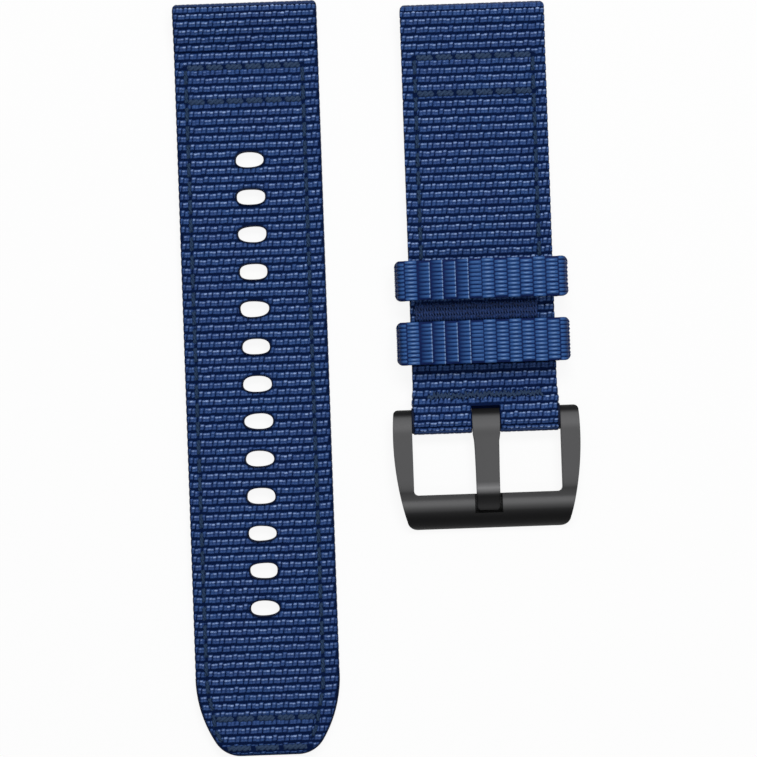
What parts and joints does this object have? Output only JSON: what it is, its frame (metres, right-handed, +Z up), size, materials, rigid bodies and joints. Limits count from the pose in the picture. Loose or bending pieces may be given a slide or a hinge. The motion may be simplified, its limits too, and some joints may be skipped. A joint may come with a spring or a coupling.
{
  "type": "fitness tracker band",
  "caption": "Woven nylon wrist band for a fitness tracker: punched tail strap, and buckle strap with woven keepers and a dark metal tang buckle hinged on a spring bar.",
  "frame": {"origin": "middle of the laid-out band's footprint, on the surface that it lies on", "axes": "+X across the straps, from the tail strap to the buckle strap; +Y along the straps, towards the lug ends; +Z up, out of the front faces"},
  "size_m": [0.0598, 0.1148, 0.0065],
  "materials": {
    "webbing": "coarse plain-woven nylon, royal blue",
    "keeper_tape": "ribbed nylon tape, blue",
    "thread": "waxed polyester thread, dark navy",
    "gunmetal": "satin black-coated stainless steel",
    "spring_steel": "plain stainless steel"
  },
  "bodies": {
    "tail_strap": {"tail_front_webbing": "webbing", "tail_lining": "webbing", "tail_side_stitching": "thread", "tail_cross_stitching": "thread"},
    "buckle_strap": {"buckle_front_webbing": "webbing", "buckle_lining": "webbing", "buckle_side_stitching": "thread", "buckle_cross_stitching": "thread", "bar_seam_stitching": "thread", "keeper_tack": "thread", "fixed_keeper": "keeper_tape", "fixed_keeper_seam": "thread", "bar_tube": "spring_steel", "bar_spring": "spring_steel"},
    "free_keeper": {"free_keeper": "keeper_tape", "free_keeper_seam": "thread"},
    "buckle_frame": {"buckle_frame": "gunmetal"},
    "buckle_tongue": {"buckle_tongue": "gunmetal"},
    "bar_plunger_left": {"bar_plunger_left": "spring_steel"},
    "bar_plunger_right": {"bar_plunger_right": "spring_steel"}
  },
  "joints": [
    {"name": "frame_swing", "type": "hinge", "parent": "buckle_strap", "child": "buckle_frame", "pos_m": [0.01568, -0.0075, 0.002], "axis": [-1, 0, 0], "range_deg": [-90, 25]},
    {"name": "tongue_swing", "type": "hinge", "parent": "buckle_frame", "child": "buckle_tongue", "pos_m": [0.01568, -0.0075, 0.002], "axis": [-1, 0, 0], "range_deg": [0, 85]},
    {"name": "free_keeper_slide", "type": "slide", "parent": "buckle_strap", "child": "free_keeper", "axis": [0, 1, 0], "range_m": [0, 0.031]},
    {"name": "bar_plunger_left_press", "type": "slide", "parent": "buckle_strap", "child": "bar_plunger_left", "axis": [1, 0, 0], "range_m": [0, 0.0013], "stiffness_N_per_m": 600, "springref_m": -0.002, "deforming": ["bar_spring"]},
    {"name": "bar_plunger_right_press", "type": "slide", "parent": "buckle_strap", "child": "bar_plunger_right", "axis": [-1, 0, 0], "range_m": [0, 0.0013], "stiffness_N_per_m": 600, "springref_m": -0.002, "deforming": ["bar_spring"]},
    {"name": "tail_lift", "type": "slide", "parent": "buckle_strap", "child": "tail_strap", "axis": [0, 0, 1], "range_m": [0, 0.05]}
  ]
}
